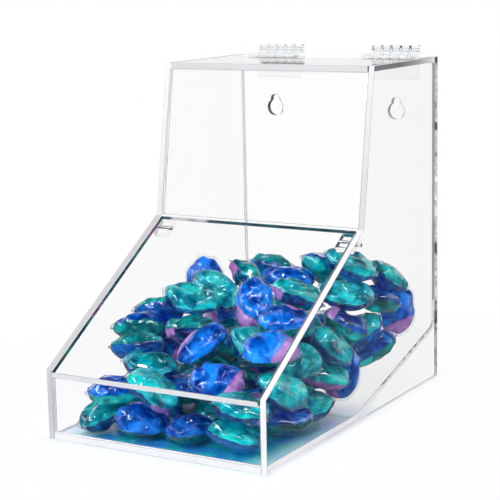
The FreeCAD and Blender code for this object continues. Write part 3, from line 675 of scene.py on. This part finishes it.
def finish_piece(name, bm, materials, node):
    """Turns a bmesh into a finished piece that stands for a CAD node and stays with the bin."""
    made = bpy.data.meshes.new(name)
    bm.to_mesh(made)
    bm.free()
    piece = bpy.data.objects.new(name, made)
    bpy.context.scene.collection.objects.link(piece)
    for material in materials:
        made.materials.append(material)
    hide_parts(node)
    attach(piece, "bin")


def pouch_materials():
    """The pouches' materials, in the order of their face numbers."""
    settings = bpy.context.scene.pouch_settings
    return [
        gel("blue_detergent_gel", settings.deep_blue, settings.bright_blue, settings.blue_taken,
            clear=0.86, shadow="#58a4f8"),
        gel("teal_detergent_gel", settings.deep_teal, settings.bright_teal, settings.teal_taken,
            clear=0.86, shadow="#58e4dc"),
        soluble_film(),
        gel("pink_detergent_gel", settings.pink, settings.bright_pink, settings.pink_taken,
            clear=0.3, shadow="#f6e4f2"),
        inner_film(),
    ]


# ---------------------------------------------------------------- operators

class OBJECT_OT_bin_stage(bpy.types.Operator):
    """Make the floor, the lamps, the world and the camera"""
    bl_idname = "object.bin_stage"
    bl_label = "Stage"

    def execute(self, context):
        settings = context.scene.stage_settings
        self.make_floor(settings)
        self.make_world(context, settings)
        self.make_lamps(context, settings)
        self.make_camera(context, settings)
        context.scene.view_settings.view_transform = "Standard"
        return {"FINISHED"}

    def make_floor(self, settings):
        gap = 0.2 * MM
        bm = bmesh.new()
        bmesh.ops.create_grid(bm, x_segments=2, y_segments=2, size=settings.floor_size / 2,
                              matrix=Matrix.Translation((0, 0, CAD_BOX[0][2] - gap)))
        made = bpy.data.meshes.new("studio_floor")
        bm.to_mesh(made)
        bm.free()
        floor = bpy.data.objects.new("studio_floor", made)
        bpy.context.scene.collection.objects.link(floor)
        made.materials.append(self.floor_material(settings))

    def floor_material(self, settings):
        """Matt white paper: it takes a soft shadow close to the bin and is plain white further out."""
        made, tree = new_material("matt_white_paper")
        place = add_node(tree, "ShaderNodeTexCoord").outputs["Object"]
        axes = add_node(tree, "ShaderNodeSeparateXYZ", links={0: place}).outputs
        outside = either(tree, *(
            beyond(tree, axes[axis], CAD_BOX[0][axis], CAD_BOX[1][axis]) for axis in range(2)))
        fades = []
        for value, start, end, most in (
                (outside, -6 * MM, 8 * MM, 0.93),
                (outside, 0, 250 * MM, 1),
                (axes["Y"], 20 * MM, 140 * MM, 0.85)):
            fades.append(add_node(tree, "ShaderNodeMapRange", {
                "From Min": start, "From Max": end, "To Max": most}, {"Value": value},
                interpolation_type="SMOOTHSTEP").outputs[0])
        # The paper's colour holds the painted pool of the gel's light under the lowest pouches.
        paper = add_node(tree, "ShaderNodeBsdfDiffuse", links={
            "Color": self.painted_gel_light(tree, place, axes, outside, settings)})
        glow = self.dimmer_in_gloss(tree, axes["Y"], CAD_BOX[0][1], settings.mirrored_front,
                                    settings.mirrored)
        white = add_node(tree, "ShaderNodeEmission", {"Color": WHITE}, {"Strength": glow})
        share = both_of(tree, self.seen_rays(tree), either(tree, *fades))
        mix = add_node(tree, "ShaderNodeMixShader", links={
            0: share, 1: paper.outputs[0], 2: white.outputs[0]})
        add_node(tree, "ShaderNodeOutputMaterial", links={"Surface": mix.outputs[0]})
        return made

    def painted_gel_light(self, tree, place, axes, outside, settings):
        """The floor's colour, with a painted pool of the gel's blue and teal light under the lowest pouches.

        outside is how far a place lies beyond the bin, which the painted pool doesn't leave.
        """
        near_floor = 15 * MM
        boxes = [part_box(node) for node in NODES if node.startswith("pod_")]
        lowest = [box for box in boxes if box[0].z < near_floor]
        in_bin = add_node(tree, "ShaderNodeMapRange", {
            "From Min": -5 * MM, "From Max": 0, "To Min": 1, "To Max": 0}, {"Value": outside})
        lit = [in_bin.outputs[0]]
        for axis, spread in enumerate((0, settings.pool_spread)):
            low = min(box[0][axis] for box in lowest) - spread
            high = max(box[1][axis] for box in lowest) + spread
            lit.append(add_node(tree, "ShaderNodeMapRange", {
                "From Min": -settings.pool_fade, "From Max": settings.pool_fade, "To Min": 1, "To Max": 0}, {
                "Value": beyond(tree, axes[axis], low, high)}, interpolation_type="SMOOTHSTEP").outputs[0])
        drift = add_node(tree, "ShaderNodeTexNoise", {"Scale": 1 / (30 * MM), "Detail": 2}, {
            "Vector": place})
        # Painted light: drifting patches of blue and teal for the light that the gel throws on the floor.
        pool = add_node(tree, "ShaderNodeValToRGB", links={0: drift.outputs["Fac"]}, stops=(
            (0.42, settings.painted_pool_blue), (0.58, settings.painted_pool_teal)))
        return add_node(tree, "ShaderNodeMix", {6: linear(settings.floor_colour)}, {
            0: both_of(tree, *lit), 7: pool.outputs["Color"]}, data_type="RGBA").outputs[2]

    def seen_rays(self, tree):
        """1 for the rays that show the background: straight, mirrored or through something clear."""
        rays = add_node(tree, "ShaderNodeLightPath").outputs
        return either(tree, rays["Is Camera Ray"], rays["Is Glossy Ray"], rays["Is Transmission Ray"])

    def dimmer_in_gloss(self, tree, depth, front, in_front, past_front):
        """1, or less for rays that have been mirrored: in_front where depth is under front, or past_front."""
        blend = 0.03
        dimmed = add_node(tree, "ShaderNodeMapRange", {
            "From Min": front - blend, "From Max": front + blend, "To Min": in_front,
            "To Max": past_front}, {"Value": depth})
        path = add_node(tree, "ShaderNodeLightPath")
        return add_node(tree, "ShaderNodeMapRange", {"To Min": 1}, {
            "Value": path.outputs["Glossy Depth"], "To Max": dimmed.outputs[0]}).outputs[0]

    def make_world(self, context, settings):
        """White walls all round, under a dark ceiling that gloss and glass show, and even light."""
        world = bpy.data.worlds.new("studio")
        world.use_nodes = True
        tree = world.node_tree
        tree.nodes.clear()
        plain = add_node(tree, "ShaderNodeBackground", {"Color": WHITE, "Strength": settings.world_light})
        direction = add_node(tree, "ShaderNodeTexCoord").outputs["Generated"]
        axes = add_node(tree, "ShaderNodeSeparateXYZ", links={0: direction}).outputs
        wall = add_node(tree, "ShaderNodeMapRange", {
            "From Min": 0.3, "From Max": 0.62, "To Min": 1, "To Max": settings.ceiling}, {
            "Value": axes["Z"]}, interpolation_type="SMOOTHSTEP")
        walls = both_of(tree, wall.outputs[0],
                        self.dimmer_in_gloss(tree, axes["Y"], 0, settings.mirrored_front, 1))
        straight = add_node(tree, "ShaderNodeLightPath").outputs["Is Camera Ray"]
        backdrop = add_node(tree, "ShaderNodeBackground", {"Color": WHITE}, {
            "Strength": either(tree, straight, walls)})
        mix = add_node(tree, "ShaderNodeMixShader", links={
            0: self.seen_rays(tree), 1: plain.outputs[0], 2: backdrop.outputs[0]})
        add_node(tree, "ShaderNodeOutputWorld", links={"Surface": mix.outputs[0]})
        context.scene.world = world

    def make_lamps(self, context, settings):
        """A wide lamp for the light, and small and long ones that only gloss and glass show."""
        strip, spark, wide = (1.0, 0.09), (0.2, 0.2), (0.9, 0.9)
        for name, place, (length, width), glow in (
                ("left_strip_lamp", (-0.8, -0.5, 0.9), strip, settings.strip_glow),
                ("right_strip_lamp", (1.2, -0.3, 0.8), strip, settings.strip_glow),
                ("front_strip_lamp", (-0.1, -1.3, 0.6), strip, settings.strip_glow),
                ("front_spark_lamp", (0.3, -1.0, 1.0), spark, settings.spark_glow),
                ("left_spark_lamp", (-0.5, -0.8, 0.7), spark, settings.spark_glow),
                ("high_spark_lamp", (0.5, 0.1, 1.3), spark, settings.spark_glow)):
            lamp = self.make_lamp(context, name, place, length, width, glow * length * width)
            lamp.visible_diffuse = False
        soft = self.make_lamp(context, "soft_lamp", (0.1, -0.9, 1.1), *wide, settings.soft_power)
        soft.visible_glossy = False
        soft.visible_transmission = False

    def make_lamp(self, context, name, place, length, width, power):
        """A flat lamp that is turned to the middle of the pouches."""
        aim = Vector((0, 0.05, 0.08))
        light = bpy.data.lights.new(name, "AREA")
        light.shape = "RECTANGLE"
        light.size = length
        light.size_y = width
        light.energy = power
        lamp = bpy.data.objects.new(name, light)
        lamp.location = place
        lamp.rotation_euler = (aim - Vector(place)).to_track_quat("-Z", "Y").to_euler()
        context.scene.collection.objects.link(lamp)
        return lamp

    def make_camera(self, context, settings):
        data = bpy.data.cameras.new("camera")
        data.lens = settings.lens
        data.sensor_width = 36
        camera = bpy.data.objects.new("camera", data)
        level = Euler((math.pi / 2 - settings.fall, 0, settings.heading)).to_matrix()
        turn = level @ Matrix.Rotation(settings.roll, 3, "Z")
        camera.matrix_world = Matrix.LocRotScale(CAMERA_PLACE, turn, None)
        context.scene.collection.objects.link(camera)
        context.scene.camera = camera


def dress(node, material, glued=True):
    """Gives a CAD node a material, and breaks its edges so that they catch the light."""
    settings = bpy.context.scene.acrylic_settings
    piece = NODES[node]
    if not piece.material_slots:
        piece.data.materials.append(material)
    for wearing in piece.material_slots:
        wearing.link = "OBJECT"
        wearing.material = material
    weld = piece.modifiers.new("weld", "WELD")
    weld.merge_threshold = SAME_POINT
    flatten = piece.modifiers.new("flat faces", "DECIMATE")
    flatten.decimate_type = "DISSOLVE"
    flatten.angle_limit = FLAT
    if glued:
        reach = piece.modifiers.new("glue", "DISPLACE")
        reach.strength = settings.glue
        reach.mid_level = 0
    bevel = piece.modifiers.new("broken edge", "BEVEL")
    bevel.width = settings.edge_break
    bevel.segments = 2
    bevel.limit_method = "ANGLE"
    bevel.angle_limit = SHARP


class OBJECT_OT_bin_panels(bpy.types.Operator):
    """Finish the acrylic panels, the bent sheet, the lid and the door"""
    bl_idname = "object.bin_panels"
    bl_label = "Acrylic panels"
    LOOSE = ("left_side_panel", "right_side_panel", "door_panel")

    def execute(self, context):
        settings = context.scene.acrylic_settings
        pale = settings.cut_colour
        # The painted shade and light of the side panels' upright edges over the door.
        lit_far_upright, shaded_near_upright = (
            functools.partial(saw_grain, colour=colour)
            for colour in (settings.far_upright_light, settings.near_upright_shade))
        thin = principal_axes(corners(NODES["door_panel"].data))[3]
        uphill = thin.cross(RIGHT) if thin.cross(RIGHT).z > 0 else RIGHT.cross(thin)
        over_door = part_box("door_panel")[1].z + 1 * MM
        # Each row: the node, its cut edges' colour, the painted shade and light of its edges over the door,
        # the painted reflections and light on its ends, and the directions of those ends.
        for node, colour, upright, shade, ways in (
                ("left_side_panel", settings.far_shaded_cut_colour, lit_far_upright, None, ()),
                ("right_side_panel", pale, shaded_near_upright, room_glints, (BACK,)),
                ("front_lip_panel", pale, None, None, ()),
                ("upper_front_panel", pale, None, piped_light, (-UP,)),
                ("lid_panel", settings.lid_shaded_cut_colour, None, fading_dark, (RIGHT,)),
                ("door_panel", pale, None, piped_light, (uphill, RIGHT, -RIGHT))):
            through = principal_axes(corners(NODES[node].data))[3]
            ends = [(UP, over_door, upright)] if upright else []
            ends += [(way, reach, shade) for way, reach in reaches(node, *ways)]
            material = flat_acrylic(f"cast_acrylic_{node}", through, colour, ends)
            dress(node, material, glued=node not in self.LOOSE)
        self.dress_sheet()
        return {"FINISHED"}

    def dress_sheet(self):
        """Finishes the bent sheet, whose ramp is its largest face that leans."""
        node = "floor_ramp_back_sheet"
        low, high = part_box(node)
        shape = NODES[node].data
        level, upright = 0.1, 0.95
        leaning = [face for face in shape.polygons
                   if level < abs(face.normal.y) < upright and face.normal.z > level]
        ramp = max(leaning, key=lambda face: face.area)
        heights = [shape.vertices[corner].co.z for corner in ramp.vertices]
        dress(node, bent_acrylic(
            ramp.normal.copy(), ramp.center.copy(), bubble_foot=0.7 * min(heights) + 0.3 * max(heights),
            front=low.y + 0.1 * MM, back_foot=low.z + (high.z - low.z) / 4, hole_reach=high.x - 10 * MM))


class OBJECT_OT_bin_hinges(bpy.types.Operator):
    """Finish the two hinges, the door's pivot blocks and their pins"""
    bl_idname = "object.bin_hinges"
    bl_label = "Hinges and pivots"

    def execute(self, context):
        clear, block, steel = moulded_acrylic(), machined_acrylic(), ground_steel()
        for side in ("left", "right"):
            for part in ("lid_leaf", "back_leaf", "hinge_pin"):
                dress(f"{part}_{side}", clear, glued=False)
            dress(f"pivot_block_{side}", block)
            dress(f"pivot_pin_{side}", steel, glued=False)
        return {"FINISHED"}


class OBJECT_OT_bin_pouches(bpy.types.Operator):
    """Model the pouches that show on the heap"""
    bl_idname = "object.bin_pouches"
    bl_label = "Pouches that show"

    def execute(self, context):
        settings = context.scene.pouch_settings
        materials = pouch_materials()
        for number, code in enumerate(SHOWN_POUCHES, start=1):
            node = f"pod_{number:02}"
            rng = random.Random(settings.seed * 1000 + number)
            points = corners(NODES[node].data)
            side = 1 if code[0] == "B" else -1
            centre = principal_axes(points)[0]
            facing = (CAMERA_PLACE - centre).normalized()
            place, sizes = set_down(points, facing, side)
            turn = pink_turn(place, facing, int(code[1:]))
            bm = bmesh.new()
            pouch(bm, place, sizes, settings.steps, settings.rings, turn, rng)
            finish_piece(f"pouch_{number:02}", bm, materials, node)
        return {"FINISHED"}


def pink_turn(place, facing, clock):
    """The turn about a pouch's own axis that puts its pink part at that hour, as the camera sees it."""
    right = UP.cross(facing).normalized()
    upward = facing.cross(right)
    if clock == 0:
        droop = 0.6
        wanted = -facing - droop * upward
    else:
        angle = math.radians(90 - 30 * clock)
        wanted = math.cos(angle) * right + math.sin(angle) * upward
    local = place.to_3x3().transposed() @ wanted
    return math.atan2(local.y, local.x)


class OBJECT_OT_bin_buried(bpy.types.Operator):
    """Model the pouches that lie inside the heap"""
    bl_idname = "object.bin_buried"
    bl_label = "Buried pouches"

    def execute(self, context):
        settings = context.scene.pouch_settings
        materials = pouch_materials()
        for layer, slot in (("lower", "pod_blue"), ("upper", "pod_teal")):
            rng = random.Random(f"{settings.seed} {layer}")
            node = f"buried_pods_{layer}"
            bm = bmesh.new()
            for points in islands(NODES[node].data):
                place, sizes = set_down(points, UP, rng.choice((-1, 1)))
                pouch(bm, place, sizes, settings.buried_steps, settings.buried_rings,
                      rng.uniform(0, math.tau), rng)
            finish_piece(f"buried_pouches_{layer}", bm, materials, node)
        return {"FINISHED"}


def islands(shape):
    """The points of each separate solid in a mesh, in the order of its first point."""
    bm = bmesh.new()
    bm.from_mesh(shape)
    bmesh.ops.remove_doubles(bm, verts=bm.verts, dist=SAME_POINT)
    bm.verts.index_update()
    found = []
    seen = set()
    for start in bm.verts:
        if start in seen:
            continue
        seen.add(start)
        group = [start]
        for point in group:
            for edge in point.link_edges:
                other = edge.other_vert(point)
                if other not in seen:
                    seen.add(other)
                    group.append(other)
        found.append(np.array([point.co for point in group]))
    bm.free()
    return found


class VIEW3D_PT_pouch_bin(bpy.types.Panel):
    """The bin's settings and steps"""
    bl_idname = "VIEW3D_PT_pouch_bin"
    bl_label = "Pouch Bin"
    bl_space_type = "VIEW_3D"
    bl_region_type = "UI"
    bl_category = "Pouch Bin"

    def draw(self, context):
        for name in SETTINGS:
            group = getattr(context.scene, name)
            box = self.layout.box()
            for key in group.__annotations__:
                box.prop(group, key)
        for operator in STEPS:
            self.layout.operator(operator.bl_idname)


STEPS = (
    OBJECT_OT_bin_stage,
    OBJECT_OT_bin_panels,
    OBJECT_OT_bin_hinges,
    OBJECT_OT_bin_pouches,
    OBJECT_OT_bin_buried,
)
SETTINGS = {
    "stage_settings": StageSettings,
    "acrylic_settings": AcrylicSettings,
    "pouch_settings": PouchSettings,
}


def register():
    for kind in (*SETTINGS.values(), *STEPS, VIEW3D_PT_pouch_bin):
        bpy.utils.register_class(kind)
    for name, kind in SETTINGS.items():
        setattr(bpy.types.Scene, name, PointerProperty(type=kind))


def unregister():
    for name in SETTINGS:
        delattr(bpy.types.Scene, name)
    for kind in reversed((*SETTINGS.values(), *STEPS, VIEW3D_PT_pouch_bin)):
        bpy.utils.unregister_class(kind)


def main():
    register()
    bpy.ops.object.bin_stage()
    bpy.ops.object.bin_panels()
    bpy.ops.object.bin_hinges()
    bpy.ops.object.bin_pouches()
    bpy.ops.object.bin_buried()


if __name__ == "__main__":
    main()
